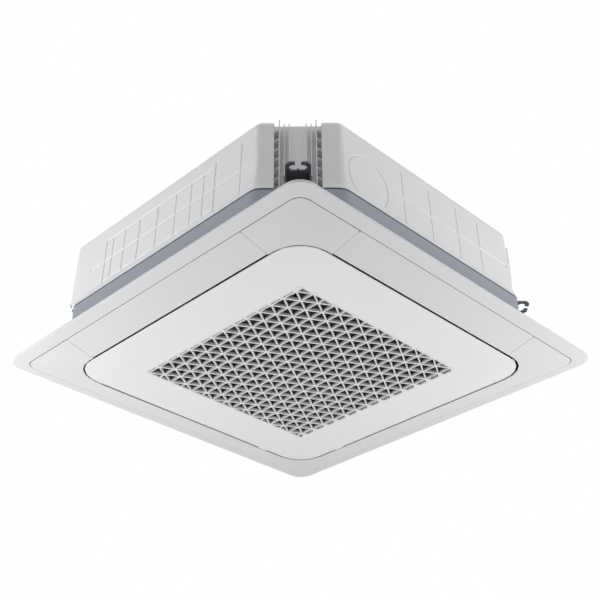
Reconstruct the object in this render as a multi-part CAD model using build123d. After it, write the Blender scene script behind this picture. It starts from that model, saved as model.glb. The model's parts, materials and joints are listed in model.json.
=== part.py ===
from build123d import *
import math
import os

os.makedirs("parts", exist_ok=True)

# A four-way ceiling cassette air conditioner. Millimetres. The origin is the middle of the
# decoration panel, on the ceiling's underside, and +Z points up into the ceiling. Round corners and
# turned forms are made in equal flat steps, so that every face of a shell is a plane.

# ---------------------------------------------------------------- driving dimensions
# decoration panel
panel_half = 475.0
panel_corner = 36.0
rim_height = 6.0
panel_wall = 2.5
border_width = 30.8
border_corner = 26.0
border_level = -11.0
deck_thickness = 3.0
corner_steps = 5
hidden_steps = 4

# sloped ring of louver blades and corner caps
ring_gap = 0.7
ring_width = 74.2
ring_inner_corner = 72.0
ring_inner_level = -28.5
ring_thickness = 2.6
cap_length = 87.4
seam_gap = 1.1
blade_edge_gap = 2.0

# louver pivots and motors
louver_axis_inset = 39.2
louver_axis_level = -4.0
louver_pin_radius = 3.0
louver_hub_radius = 5.5
arm_thickness = 3.0
arm_gap = 3.0
end_wall_gap = 2.4
end_wall_thickness = 3.0
pivot_clearance = 0.05
motor_radius = 11.5
motor_length = 18.0
motor_socket = 4.0
motor_gap = 0.2
seal_width = 15.0
panel_screw_size = 5.0
panel_screw_place = 15.0

# air ways
outlet_lip = 1.0
outlet_width = 42.0
partition_bottom = -14.0
partition_wall = 4.0
throat_corner = 110.0

# intake grille
intake_gap = 4.0
intake_corner = 68.0
intake_edge_level = -28.5
intake_window_level = -30.5
intake_wall = 2.5
crown_width = 40.0
intake_rim_top = -21.5
face_width = 116.0
fence_wall = 3.0
hinge_inset = 4.5
grille_axis_level = -25.0
grille_pin_radius = 1.25
grille_pin_length = 40.0
barrel_radius = 2.9
barrel_length = 26.0
hinge_offset = 150.0
lug_radius = 2.0
lug_room = 0.3
lug_width = 5.0
lug_gap = 1.0
lug_lip = 0.5

# lattice of triangles in the intake grille
lattice_side = 36.6
lattice_rib = 2.6
lattice_bold_rib = 3.4
lattice_depth = 7.0
lattice_rim = 3.0
lattice_gap = 0.4
lattice_node_x = 12.2
lattice_node_y = 8.7
smallest_hole = 60.0

# filter behind the lattice
filter_overlap = 8.0
filter_rim = 9.0
filter_thickness = 4.0
filter_gap = 1.0
mesh_thickness = 0.8
filter_bar = 4.0
filter_cell_count = 3

# grille latches
latch_inset = 36.0
latch_width = 16.0
latch_thickness = 2.0
latch_travel = 6.0
latch_gap = 1.5
latch_play = 0.4
keeper_reach = 8.0
keeper_wall = 2.0
keeper_half_width = 14.0
rail_start = 60.0
rail_end = 80.0
cheek_width = 3.6
latch_tab_inset = 8.0
latch_tab_length = 12.0

# chassis
flange_overlap = 55.0
chassis_height = 288.0
corner_round = 30.0
chassis_steps = 2
sheet = 2.0
band_height = 100.0
base_level = 10.0
casing_foot = 8.0

# upper casing
casing_wall = 4.0
casing_flare_height = 22.0
casing_flare = 7.5
casing_draft = 6.0
casing_edge_round = 18.0
casing_left_bulge = 20.0
edge_steps = 3
pad_height = 9.0
pad_start = 205.0
pad_width = 70.0
groove_depth = 1.5
groove_width = 4.5
bold_groove_width = 8.0
field_start = 2.0
field_drop = 50.0
left_uprights = (-215, -190, -146, -93, -29, 34, 85, 125)
left_bold_upright = 163.0
left_last_upright = 242.0
left_field_length = 369.0
left_field_middle = -32.0
left_line_length = 566.0
left_line_middle = 13.0
right_uprights = (-102, -12, 82, 160)
right_line_length = 400.0
right_line_middle = 60.0
far_uprights = (-120, 40, 180)
far_line_length = 400.0
far_line_middle = 40.0
knockout_radius = 62.0
knockout_across = -213.0
knockout_drop = 16.0
knockout_sides = 18
roof_ring_radius = 130.0
roof_ring_width = 6.0
spoke_start = 150.0
spoke_end = 360.0
grommet_across = -60.0
grommet_level = 150.0
grommet_radius = 9.0

# hanger notches in the chassis corners
hanger_inset_x = 50.0
hanger_inset_y = 54.5
corner_cut_near = 15.1
corner_cut_right = 28.1
corner_cut_far = 15.1
corner_cut_left = 2.1
notch_half_width = 48.0
notch_depth = 50.0
fin_thickness = 2.0
outer_fin_offset = 37.5
middle_fin_offset = 27.5
inner_fin_offset = 17.5
outer_fin_depth = 27.0
inner_fin_depth = 16.0
fin_top_drop = 6.0
rung_thickness = 2.0
rung_count = 7
rung_start = 8.0

# hanger brackets
bracket_half_width = 26.0
bracket_tip = 17.0
bracket_level = 137.0
bracket_thickness = 3.5
bracket_corner = 8.0
slot_mouth = 12.0
slot_half_width = 17.5
slot_half_depth = 8.0
slot_round = 5.0
slot_bump = 3.0
gusset_end = 14.0
gusset_height = 34.0
bracket_flange_drop = 68.0
bracket_screw_size = 5.0
bracket_screw_inset = 8.0
bracket_screw_drop = 12.0
screw_head = 3.0

# inside the chassis
pan_top = 62.0
pan_gap = 0.5
trough_floor = 44.0
trough_margin = 5.0
sump_floor = 24.0
pan_rim_width = 82.0
pan_opening_corner = 150.0
coil_setback = 51.0
coil_thickness = 38.0
coil_corner = 60.0
coil_top_gap = 14.5
coil_end_setback = 121.0
return_bend_count = 4
return_bend_radius = 11.0
return_tube = 8.0
return_row_offset = 9.0
liner_gap = 1.0
liner_thickness = 6.5
top_plate_thickness = 1.5

# fan and its motor
fan_gap = 54.0
fan_sides = 21
eye_ratio = 0.62
bucket_ratio = 0.41
blade_root_ratio = 0.51
blade_tip_ratio = 0.975
fan_plate_drop = 52.5
fan_plate = 2.5
hub_step = 12.0
hub_boss_wall = 10.0
hub_boss_drop = 18.0
hub_round = 14.0
hub_flare = 10.0
nut_radius = 11.0
nut_height = 10.0
shaft_drop = 30.0
shroud_rise = 32.0
shroud_lead = 22.0
blade_count = 7
blade_steps = 3
blade_thickness = 4.0
blade_curve = 1.4
blade_sweep = 52.0
shaft_radius = 6.0
shaft_clearance = 0.05
bucket_room = 22.0
fan_motor_drop = 102.5
motor_sides = 16
mount_height = 8.0
mount_reach = 14.0
mount_radius = 7.5
mount_turns = (30, 150, 270)
bell_gap = 7.0
bell_lip_level = 70.0
bell_flare_ratio = 0.84
bell_steps = 3
bell_sides = 16
bell_overlap = 20.0
bell_plate_corner = 20.0

# control box beside the bell mouth
control_length = 250.0
control_inset = 12.0
control_width = 56.0
control_bottom = 2.0
control_top = 52.0
control_wall = 1.5
cover_lip = 8.0
board_length = 160.0
terminal_count = 5
terminal_pitch = 10.0

# pipes on the hidden +X side
pipe_side_inset = 200.0
pipe_spread = 14.0
gas_header_setback = 7.0
liquid_header_setback = 12.0
gas_header_radius = 11.0
liquid_header_radius = 6.0
gas_pipe_radius = 7.94
liquid_pipe_radius = 4.76
pipe_wall = 1.2
union_thread_gas = 11.1
union_thread_liquid = 7.9
union_thread_length = 16.0
union_nut_length = 10.0
union_nut_wall = 3.4
union_nut_gap = 1.5
header_foot_gas = 12.0
header_foot_liquid = 22.0
gas_taps = (38.0, 68.0)
liquid_taps = (38.0, 88.0)
tap_radius = 3.5
end_plate_margin = 3.0
drain_radius = 16.0
drain_inner_radius = 14.0
drain_wall = 2.5
hose_radius = 11.0
drain_socket_length = 32.0
pipe_stub = 42.0
gas_rise = 26.0
liquid_rise = 56.0
drain_drop = 62.0
window_margin = 8.0
cover_plate_half_width = 38.0

# drain pump and float switch in the far corner
pump_inset_x = 158.0
pump_inset_y = 148.0
pump_radius = 30.0
pump_spout_radius = 8.0
pump_spout_rise = 20.0
strap_low = 136.0
strap_high = 152.0
strap_half_width = 8.0
pump_cap_radius = 22.0
pump_foot_radius = 13.0
pump_bottom = 70.0
pump_body_top = 156.0
pump_top = 196.0
float_inset_x = 120.0
float_inset_y = 122.0
sump_inset = 177.0
sump_reach = 16.0
float_radius = 9.0
float_height = 16.0
float_stem_radius = 3.0
float_travel = 8.0
float_low_level = 30.0
switch_bottom = 110.0
switch_top = 140.0
bar_sides = 12

# ---------------------------------------------------------------- sizes that follow
diagonal = math.sqrt(2)
border_half = panel_half - border_width
ring_outer_half = border_half - ring_gap
ring_inner_half = border_half - ring_width
cap_start = ring_inner_half - cap_length
blade_inner_half = ring_inner_half + blade_edge_gap
louver_axis_half = border_half - louver_axis_inset
outlet_outer_half = louver_axis_half - outlet_lip
outlet_inner_half = outlet_outer_half - outlet_width
outlet_half_length = cap_start + end_wall_gap
wall_outside = outlet_half_length + end_wall_thickness
intake_half = ring_inner_half - intake_gap
window_half = intake_half - face_width
grille_axis_x = intake_half - hinge_inset
filter_half = window_half + filter_overlap
latch_offset = window_half - latch_inset
lattice_top = intake_window_level + lattice_depth
filter_bottom = lattice_top + filter_gap
filter_top = filter_bottom + filter_thickness
latch_level = filter_top + 1.5 * latch_play

chassis_half = panel_half - flange_overlap
hanger_x = chassis_half - hanger_inset_x
hanger_y = chassis_half - hanger_inset_y
hanger_distance = math.hypot(hanger_x, hanger_y)
casing_lower_half = chassis_half - casing_flare
flare_top = band_height + casing_flare_height
field_low = flare_top + field_start
field_high = chassis_height - field_drop
field_middle = (field_low + field_high) / 2
liner_inset = casing_flare + casing_draft + casing_wall + liner_gap
ceiling_inside = chassis_height - casing_wall
plate_bottom = ceiling_inside - top_plate_thickness
liner_top = chassis_height - casing_edge_round
plate_inset = casing_flare + casing_draft + casing_edge_round + liner_gap
fin_top = chassis_height - fin_top_drop
corners = {
    "near": (-1, -1, hanger_distance - corner_cut_near),
    "right": (1, -1, hanger_distance - corner_cut_right),
    "far": (1, 1, hanger_distance - corner_cut_far),
    "left": (-1, 1, hanger_distance - corner_cut_left),
}
side_turns = {"left": 0, "right": 90, "far_right": 180, "far_left": 270}

pan_opening_half = outlet_inner_half - pan_rim_width
coil_centre_half = outlet_inner_half - coil_setback
coil_inner_half = coil_centre_half - coil_thickness / 2
coil_outer_half = coil_centre_half + coil_thickness / 2
coil_top = plate_bottom - coil_top_gap
coil_end = coil_centre_half - coil_end_setback
fan_radius = coil_inner_half - fan_gap
fan_eye_radius = eye_ratio * fan_radius
hub_bucket_radius = bucket_ratio * fan_radius
fan_motor_radius = hub_bucket_radius - bucket_room
motor_top = plate_bottom - mount_height
fan_plate_level = motor_top - fan_plate_drop
fan_motor_level = motor_top - fan_motor_drop
hub_bucket_level = fan_motor_level - hub_step
mount_ring = fan_motor_radius + mount_reach
bell_throat_radius = fan_eye_radius - bell_gap
bell_flare_radius = bell_flare_ratio * fan_radius
bell_plate_half = pan_opening_half + bell_overlap
shroud_eye_level = bell_lip_level + sheet
shroud_edge_level = shroud_eye_level + shroud_rise
control_far = pan_opening_half - control_inset
control_near = control_far - control_width
control_middle = -(control_far + control_near) / 2

pipe_side_y = chassis_half - pipe_side_inset
gas_pipe_y = pipe_side_y + pipe_spread / 2
liquid_pipe_y = pipe_side_y - pipe_spread
gas_header_x = coil_centre_half + gas_header_setback
liquid_header_x = coil_centre_half - liquid_header_setback
gas_level = flare_top + gas_rise
liquid_level = flare_top + liquid_rise
drain_level = chassis_height - drain_drop
header_top = liquid_level + 2 * liquid_header_radius
stub_end = chassis_half + pipe_stub
union_start = stub_end - union_thread_length
drain_start = gas_header_x + gas_header_radius + hose_radius
pump_x = chassis_half - pump_inset_x
pump_y = chassis_half - pump_inset_y
float_x = chassis_half - float_inset_x
float_y = chassis_half - float_inset_y
sump_start = chassis_half - sump_inset


# ---------------------------------------------------------------- helpers
def block(x0, x1, y0, y1, z0, z1):
    """A box from its six limits."""
    return Pos((x0 + x1) / 2, (y0 + y1) / 2, (z0 + z1) / 2) * Box(x1 - x0, y1 - y0, z1 - z0)


def outline_points(distances, rounding, level, steps):
    """Points of a level outline from the distances of its sides, each corner turned in flat steps.

    A corner's centre lies where its two sides meet after both move inward by the rounding.
    """
    count = len(distances)
    points = []
    for index in range(count):
        first = math.radians(index * 360 / count)
        second = math.radians((index + 1) * 360 / count)
        near = distances[index] - rounding
        next_one = distances[(index + 1) % count] - rounding
        spread = math.sin(second - first)
        x = (near * math.sin(second) - next_one * math.sin(first)) / spread
        y = (next_one * math.cos(first) - near * math.cos(second)) / spread
        for step in range(steps + 1):
            angle = first + (second - first) * step / steps
            points.append((x + rounding * math.cos(angle), y + rounding * math.sin(angle), level))
    return points


def square_points(half, corner, level, steps=corner_steps):
    """Points of a level square with stepped corners."""
    return outline_points([half] * 4, corner, level, steps)


def flat_sided(*outlines):
    """A solid through level outlines whose matching edges are parallel, so every side is flat."""
    faces = [Face(Wire.make_polygon(outlines[0])), Face(Wire.make_polygon(outlines[-1]))]
    for low, high in zip(outlines, outlines[1:]):
        for index in range(len(low)):
            side = [low[index - 1], low[index], high[index], high[index - 1]]
            faces.append(Face(Wire.make_polygon(side)))
    return Solid(Shell(faces))


def upright(points, high):
    """A straight-walled solid from a level outline up to a height."""
    return extrude(Face(Wire.make_polygon(points)), high - points[0][2], dir=(0, 0, 1))


def slab(half, corner, low, high, steps=corner_steps):
    """A square plate with stepped corners."""
    return upright(square_points(half, corner, low, steps), high)


def ring_points(radius, level, sides):
    """Points of a level ring with equal sides about the upright axis."""
    turns = [2 * math.pi * side / sides for side in range(sides)]
    return [(radius * math.cos(turn), radius * math.sin(turn), level) for turn in turns]


def turned_form(profile, sides):
    """A body turned about the upright axis from a closed half section, in equal flat sides."""
    rings = [ring_points(radius, level, sides) for radius, level in profile]
    faces = []
    for index in range(len(rings)):
        low = rings[index - 1]
        high = rings[index]
        for side in range(sides):
            quad = [low[side - 1], low[side], high[side], high[side - 1]]
            faces.append(Face(Wire.make_polygon(quad)))
    return Solid(Shell(faces)).clean()


def bar(x, y, radius, low, high, sides=bar_sides, hole=False):
    """An upright bar with flat sides; as a hole, its sides touch a round bar of the radius."""
    return Pos(x, y, low) * extrude(RegularPolygon(radius, sides, major_radius=not hole), high - low)


def bar_along_x(y, z, radius, start, end, sides=bar_sides, hole=False):
    """A bar with flat sides along X."""
    section = RegularPolygon(radius, sides, major_radius=not hole)
    return Pos(start, y, z) * Rot(0, 90, 0) * extrude(section, end - start)


def bar_along_y(x, z, radius, start, end, sides=bar_sides, hole=False):
    """A bar with flat sides along Y."""
    section = RegularPolygon(radius, sides, major_radius=not hole)
    return Pos(x, start, z) * Rot(-90, 0, 0) * extrude(section, end - start)


def rod(x, y, radius, low, high):
    """An upright round bar."""
    return Pos(x, y, (low + high) / 2) * Cylinder(radius, high - low)


def rod_along_x(y, z, radius, start, end):
    """A round bar along X."""
    return Pos((start + end) / 2, y, z) * Rot(0, 90, 0) * Cylinder(radius, end - start)


def rod_along_y(x, z, radius, start, end):
    """A round bar along Y."""
    return Pos(x, (start + end) / 2, z) * Rot(90, 0, 0) * Cylinder(radius, end - start)


def turned(shape, turns):
    """Copies of a shape turned about the upright axis by each angle."""
    return [Rot(0, 0, turn) * shape for turn in turns]


def four(shape):
    """The shape on all four sides."""
    return turned(shape, [0, 90, 180, 270])


def save(name, shape):
    """One file for each node; loose solids stay a group."""
    export_step(shape, f"parts/{name}.step")


def group(shapes):
    """Separate solids kept together in one node."""
    return Compound(children=[solid for shape in shapes for solid in shape.solids()])


def chassis_points(inset, level, left_bulge=0.0):
    """The chassis outline: a square whose corners are cut at 45 degrees, without its notches."""
    half = chassis_half - inset
    near, right, far, left = (reach - inset for sx, sy, reach in corners.values())
    left += left_bulge
    rounding = max(corner_round - inset, casing_wall)
    return outline_points([half, far, half, left, half, near, half, right], rounding, level, chassis_steps)


def corner_frame(name):
    """The place of one hanger bolt, with local X pointing out along the corner's diagonal."""
    sx, sy, reach = corners[name]
    return Pos(sx * hanger_x, sy * hanger_y, 0) * Rot(0, 0, math.degrees(math.atan2(sy, sx)))


def notches(inset, low, high):
    """The four hanger notches, grown by the inset so that walls keep their thickness."""
    cut = block(-notch_depth - inset, 4 * notch_depth, -notch_half_width - inset, notch_half_width + inset,
                low, high)
    return [corner_frame(name) * cut for name in corners]


def chassis_prism(inset, low, high):
    """An upright solid that fills the chassis outline."""
    return upright(chassis_points(inset, low), high) - notches(inset, low - 1, high + 1)


# ---------------------------------------------------------------- decoration panel
def ring_solid(lift):
    """The solid under the sloped ring, from the border line down to the intake grille."""
    bottom = square_points(ring_inner_half, ring_inner_corner, ring_inner_level + lift)
    top = square_points(ring_outer_half, border_corner, border_level + lift)
    return flat_sided(bottom, top)


def face_ring():
    """The thin sloped ring that blades and caps are cut from."""
    hollow = slab(ring_inner_half, ring_inner_corner, ring_inner_level - 1, 0)
    return ring_solid(0) - ring_solid(ring_thickness) - hollow


def motor_places():
    """Where each louver motor reaches through the deck, just past its outlet."""
    size = motor_radius + seam_gap
    place = block(wall_outside, wall_outside + motor_length + deck_thickness, -louver_axis_half - size,
                  -louver_axis_half + size, border_level, -border_level)
    return four(place)


def sloped_border():
    """The panel's visible edge: a slope up from the border line and an upright rim."""
    outer = flat_sided(square_points(border_half, border_corner, border_level),
                       square_points(panel_half, panel_corner, -rim_height))
    border = outer - Pos(0, 0, panel_wall) * outer - slab(border_half, border_corner, ring_inner_level, 0)
    rim = slab(panel_half, panel_corner, -rim_height, 0)
    rim -= slab(panel_half - panel_wall, panel_corner - panel_wall, ring_inner_level, 1)
    return border + rim


def hinge_lugs():
    """Two pairs of lugs under the partition that hold the grille's hinge pins."""
    lugs = []
    for y in (-hinge_offset, hinge_offset):
        for side in (-1, 1):
            middle = y + side * (barrel_length / 2 + lug_gap + lug_width / 2)
            start = middle - lug_width / 2
            end = middle + lug_width / 2
            lug = block(grille_axis_x - lug_width, grille_axis_x + lug_lip, start, end,
                        grille_axis_level - lug_radius, partition_bottom + 1)
            lug += bar_along_y(grille_axis_x, grille_axis_level, lug_radius, start, end, 8)
            lugs.append(lug - bar_along_y(grille_axis_x, grille_axis_level, grille_pin_radius,
                                          start - 1, end + 1, 8))
    return lugs


def latch_keepers():
    """Two hooks under the partition that the sliding latches reach over."""
    top = latch_level - latch_play
    wall = -outlet_inner_half
    hooks = []
    for y in (-latch_offset, latch_offset):
        hook = block(wall, wall + partition_wall, y - keeper_half_width, y + keeper_half_width,
                     top - keeper_wall, partition_bottom + 1)
        hook += block(wall, wall + keeper_reach, y - keeper_half_width, y + keeper_half_width,
                      top - keeper_wall, top)
        hooks.append(hook)
    return hooks


def outlet_end_walls():
    """Walls that close both ends of each outlet above the blades and carry their pivots."""
    room = ring_thickness + latch_play
    above_ring = ring_solid(room) + slab(ring_outer_half, border_corner, border_level + room, 0)
    wall = block(outlet_half_length, wall_outside, -border_half, -outlet_inner_half, ring_inner_level, 0)
    wall += mirror(wall, Plane.YZ)
    wall &= above_ring
    wall -= slab(ring_inner_half + ring_gap, ring_inner_corner, ring_inner_level, partition_bottom + 2)
    return four(wall)


def panel_frame():
    """Sloped border, upstand behind the border line, deck, partition and outlet end walls."""
    upstand_half = border_half + panel_wall
    upstand = slab(upstand_half, border_corner + panel_wall, border_level + 0.5, 0)
    upstand -= slab(border_half, border_corner, ring_inner_level, 1)
    deck = slab(upstand_half, border_corner + panel_wall, -deck_thickness, 0)
    deck += slab(outlet_inner_half, throat_corner, partition_bottom, 0)
    deck -= slab(outlet_inner_half - partition_wall, throat_corner - partition_wall, ring_inner_level, 1)
    duct = block(-outlet_half_length, outlet_half_length, -outlet_outer_half - casing_foot,
                 -outlet_inner_half, -deck_thickness - 1, 1)
    deck -= four(duct)
    deck -= motor_places()
    frame = sloped_border() + upstand + deck + outlet_end_walls()
    frame -= four(bar_along_x(-louver_axis_half, louver_axis_level, louver_pin_radius + pivot_clearance,
                              -wall_outside - 1, wall_outside + 1, 8, hole=True))
    return frame + hinge_lugs() + latch_keepers()


def panel_screws():
    """Four screw heads under the deck, one past the motorless end of each outlet."""
    head = Pos(-outlet_half_length - panel_screw_place, panel_screw_place - louver_axis_half,
               -deck_thickness - screw_head) * extrude(RegularPolygon(panel_screw_size, 6), screw_head)
    return group(four(head))


def blade_arm(low, high):
    """One end arm of a blade: a plate that tapers from the hub down to the blade's back."""
    hub_size = louver_hub_radius
    face = Polygon((hub_size - louver_axis_half, louver_axis_level + sheet),
                   (-hub_size - louver_axis_half, louver_axis_level + sheet),
                   (-border_half + 14, ring_inner_level + 13),
                   (-border_half + 20, ring_inner_level),
                   (-blade_inner_half - 14, ring_inner_level), align=None)
    arm = extrude(Plane.YZ.offset(low) * face, high - low)
    arm &= ring_solid(0.5) + block(low, high, -border_half + 12, -blade_inner_half,
                                   border_level + 0.5, louver_hub_radius)
    return arm + bar_along_x(-louver_axis_half, louver_axis_level, hub_size, low, high, 8)


def louver_blade():
    """A blade on the -Y side: a slice of the sloped ring, with two end arms and their pivot pins."""
    half_length = cap_start - seam_gap
    blade = face_ring() & block(-half_length, half_length, -border_half, -blade_inner_half,
                                ring_inner_level, 0)
    arm_end = outlet_half_length - arm_gap
    for side, socket in ((-1, 0), (1, motor_socket)):
        low, high = sorted((side * arm_end, side * (arm_end - arm_thickness)))
        blade += blade_arm(low, high) & block(-half_length, half_length, -border_half, 0,
                                              ring_inner_level, louver_hub_radius)
        pin_ends = sorted((side * (arm_end - arm_thickness), side * (wall_outside + socket)))
        if socket:
            blade += rod_along_x(-louver_axis_half, louver_axis_level, louver_pin_radius, *pin_ends)
        else:
            blade += bar_along_x(-louver_axis_half, louver_axis_level, louver_pin_radius, *pin_ends, 8)
    return blade


def corner_cap(opening_half):
    """The cap over the panel's near corner, between two blades, cut back to the opening's half width.

    On the hinge side that leaves room for the intake grille's corner to swing past.
    """
    cap = face_ring() & block(-panel_half, -cap_start, -panel_half, -cap_start, ring_inner_level, 0)
    growth = opening_half - ring_inner_half
    return cap - slab(opening_half, ring_inner_corner + growth, ring_inner_level - 1, 0)


def louver_motor():
    """Flat round stepper motor past the +X end of the -Y blade, with its socket for the pivot pin."""
    start = wall_outside + motor_gap
    body = bar_along_x(-louver_axis_half, louver_axis_level, motor_radius, start, start + motor_length,
                       motor_sides)
    return body - bar_along_x(-louver_axis_half, louver_axis_level, louver_pin_radius + pivot_clearance,
                              start - 1, start + motor_socket + 2, 8, hole=True)


def panel_seal():
    """Foam that seals the panel to the chassis: a ring inside the outlets and a strip outside each."""
    inner = slab(outlet_inner_half - 0.5, throat_corner, 0, base_level, hidden_steps)
    inner -= slab(outlet_inner_half - seal_width, throat_corner - seal_width, -1, base_level + 1,
                  hidden_steps)
    far_side = -outlet_outer_half - casing_foot
    half_length = outlet_half_length - 2 * seal_width
    strip = block(-half_length, half_length, far_side - seal_width / 3, far_side, 0, base_level)
    return group([inner] + four(strip))


# ---------------------------------------------------------------- intake grille
def hinge_barrel(y):
    """A hinge barrel in the grille's turned-up rim, with a round bore for its pin."""
    start = y - barrel_length / 2
    end = y + barrel_length / 2
    barrel = bar_along_y(grille_axis_x, grille_axis_level, barrel_radius, start, end, 8)
    barrel += block(grille_axis_x - lug_width / 2, grille_axis_x + lug_width / 2, start, end,
                    intake_edge_level + 1, grille_axis_level)
    return barrel - rod_along_y(grille_axis_x, grille_axis_level, grille_pin_radius + pivot_clearance,
                                start - 1, end + 1)


def latch_guide(y):
    """A raised rail with a cheek on each side of a sliding latch."""
    start = -window_half - rail_end
    end = -window_half - rail_start
    top = latch_level - latch_play / 2
    inside = latch_width / 2 + latch_play
    outside = inside + cheek_width
    guide = block(start, end, y - outside, y + outside, intake_edge_level + 1, top)
    for side in (-1, 1):
        low, high = sorted((y + side * inside, y + side * outside))
        guide += block(start, end, low, high, top - 1, top + latch_thickness + 1)
    return guide


def intake_grille_frame():
    """Smooth square face with a shallow fall to the window, a turned-up rim and hinge barrels."""
    crown_half = intake_half - crown_width
    body = flat_sided(square_points(crown_half, intake_corner - crown_width, intake_window_level),
                      square_points(intake_half, intake_corner, intake_edge_level),
                      square_points(intake_half, intake_corner, intake_rim_top))
    body -= slab(intake_half - intake_wall, intake_corner - intake_wall, intake_edge_level + intake_wall, 0)
    fence_half = window_half + fence_wall
    body += block(-fence_half, fence_half, -fence_half, fence_half, intake_edge_level, filter_bottom)
    body -= block(-window_half, window_half, -window_half, window_half, intake_window_level - 1, 0)
    cut_half = barrel_length / 2 + lug_gap + lug_width + 2
    for y in (-hinge_offset, hinge_offset):
        body -= block(grille_axis_x - 8, intake_half + 1, y - cut_half, y + cut_half,
                      grille_axis_level - lug_radius - lug_room, 0)
        body += hinge_barrel(y)
    for y in (-latch_offset, latch_offset):
        body += latch_guide(y)
    return body


def lattice_cell(x, y, points_right):
    """One triangular hole, set in from three rib lines; its upper or lower rib is a bold one."""
    height = lattice_side * math.sqrt(3) / 2
    slope = 1 / math.sqrt(3)
    thin = lattice_rib / 2
    bold = lattice_bold_rib / 2
    tip = x + height if points_right else x
    base = x if points_right else x + height
    inward = 1 if points_right else -1
    upper = (bold if points_right else thin) * 2 * slope
    lower = (thin if points_right else bold) * 2 * slope
    base_line = base + inward * thin
    reach = abs(tip - base_line) * slope
    point = (tip - inward * (upper + lower) / 2 / slope, y + (lower - upper) / 2)
    return [(base_line, y + reach - upper), (base_line, y - reach + lower), point]


def lattice_holes(inside_half):
    """Triangular holes between three families of ribs, clipped by the window's rim."""
    columns = int(inside_half / (lattice_side * math.sqrt(3) / 2)) + 2
    rows = int(2 * inside_half / lattice_side) + 4
    window = Rectangle(2 * inside_half, 2 * inside_half).face()
    holes = []
    for column in range(-columns, columns):
        x = lattice_node_x + column * lattice_side * math.sqrt(3) / 2
        for row in range(-rows, rows):
            y = lattice_node_y + row * lattice_side / 2
            points = lattice_cell(x, y, (column + row) % 2 == 0)
            reaches = [max(abs(px), abs(py)) for px, py in points]
            if max(reaches) < inside_half:
                holes.append(Polygon(*points, align=None).face())
                continue
            clipped = Polygon(*points, align=None).face() & window
            if clipped is not None:
                holes += [face for face in clipped.faces() if face.area > smallest_hole]
    return holes


def grille_lattice():
    """The window's insert, one plate pierced by every triangular cell."""
    half = window_half - lattice_gap
    outline = Rectangle(2 * half, 2 * half).face()
    holes = lattice_holes(half - lattice_rim)
    plate = Face(outline.outer_wire(), [hole.outer_wire() for hole in holes])
    return Pos(0, 0, intake_window_level) * extrude(plate, lattice_depth, dir=(0, 0, 1))


def filter_notches():
    """Room at the filter's edge for the two latch tabs."""
    depth = latch_tab_inset + latch_tab_length + latch_travel + casing_draft
    side = latch_width / 2 + lattice_rim
    return [block(-filter_half - 1, depth - window_half, y - side, y + side, filter_bottom - 1, filter_top + 1)
            for y in (-latch_offset, latch_offset)]


def filter_frame():
    """Moulded frame of the air filter with its stiffening bars."""
    inner = filter_half - filter_rim
    frame = block(-filter_half, filter_half, -filter_half, filter_half, filter_bottom, filter_top)
    frame -= block(-inner, inner, -inner, inner, filter_bottom - 1, filter_top + 1)
    low = filter_bottom + 1.5 * mesh_thickness
    for step in range(1, filter_cell_count):
        middle = -inner + step * 2 * inner / filter_cell_count
        start = middle - filter_bar / 2
        end = middle + filter_bar / 2
        frame += block(start, end, -inner, inner, low, filter_top)
        frame += block(-inner, inner, start, end, low, filter_top)
    return frame - filter_notches()


def filter_mesh():
    """The dust net, a thin sheet stretched across the frame's underside."""
    inner = filter_half - filter_rim
    low = filter_bottom + mesh_thickness / 8
    return block(-inner, inner, -inner, inner, low, low + mesh_thickness) - filter_notches()


def grille_latch(y):
    """A sliding latch: a flat tongue at the frame's keeper and a finger tab above the lattice."""
    tip = -outlet_inner_half + keeper_reach + latch_gap
    tail = -window_half + latch_tab_inset + latch_tab_length
    start = y - latch_width / 2
    end = y + latch_width / 2
    tongue = block(tip, tail, start, end, latch_level, latch_level + latch_thickness)
    return tongue + block(tail - latch_tab_length, tail, start, end, lattice_top + latch_play, latch_level + 0.1)


def hinge_pins():
    """Two pins that the grille's barrels turn on."""
    return group([bar_along_y(grille_axis_x, grille_axis_level, grille_pin_radius,
                              y - grille_pin_length / 2, y + grille_pin_length / 2, 8)
                  for y in (-hinge_offset, hinge_offset)])


# ---------------------------------------------------------------- chassis shells
def outlet_slot(low, high):
    """The way out for cooled air on the -Y side."""
    end = outlet_half_length - sheet
    return block(-end, end, -outlet_outer_half, -outlet_inner_half, low, high)


def lower_casing():
    """Painted steel band and base plate with the return opening and four outlet slots."""
    wall = chassis_prism(0, casing_foot, band_height) - chassis_prism(sheet, 0, band_height + 1)
    plate = chassis_prism(sheet / 2, base_level, base_level + sheet)
    plate -= slab(pan_opening_half + bell_overlap / 2, pan_opening_corner, 0, pan_top, hidden_steps)
    plate -= four(outlet_slot(0, pan_top))
    return wall + plate


def casing_inset(level):
    """How far the upper casing's drafted wall stands inside the band at a height."""
    return casing_flare + casing_draft * (level - flare_top) / (chassis_height - flare_top)


def casing_outlines(wall, steps):
    """Level outlines of the upper casing's outside, or of its inside when a wall is given."""
    start = chassis_height - casing_edge_round
    edge = casing_edge_round - wall
    outlines = [chassis_points(wall, band_height),
                chassis_points(casing_flare + wall, flare_top, casing_left_bulge)]
    for step in range(steps + 1):
        turn = math.radians(90 * step / steps)
        inset = casing_inset(start) + wall + edge * (1 - math.cos(turn))
        outlines.append(chassis_points(inset, start + edge * math.sin(turn), casing_left_bulge))
    return outlines


def casing_taper():
    """Draft of the upper casing's walls in degrees."""
    return math.degrees(math.atan2(casing_draft, chassis_height - flare_top))


def wall_place(turn, across, level):
    """A place on one wall of the upper casing: X along the wall, Y up its draft, Z outwards."""
    tilt = math.radians(casing_taper())
    wall = Plane(origin=(-casing_lower_half, 0, flare_top), x_dir=(0, -1, 0),
                 z_dir=(-math.cos(tilt), 0, math.sin(tilt)))
    return Rot(0, 0, turn) * wall.location * Pos(across, level - flare_top, 0)


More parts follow.
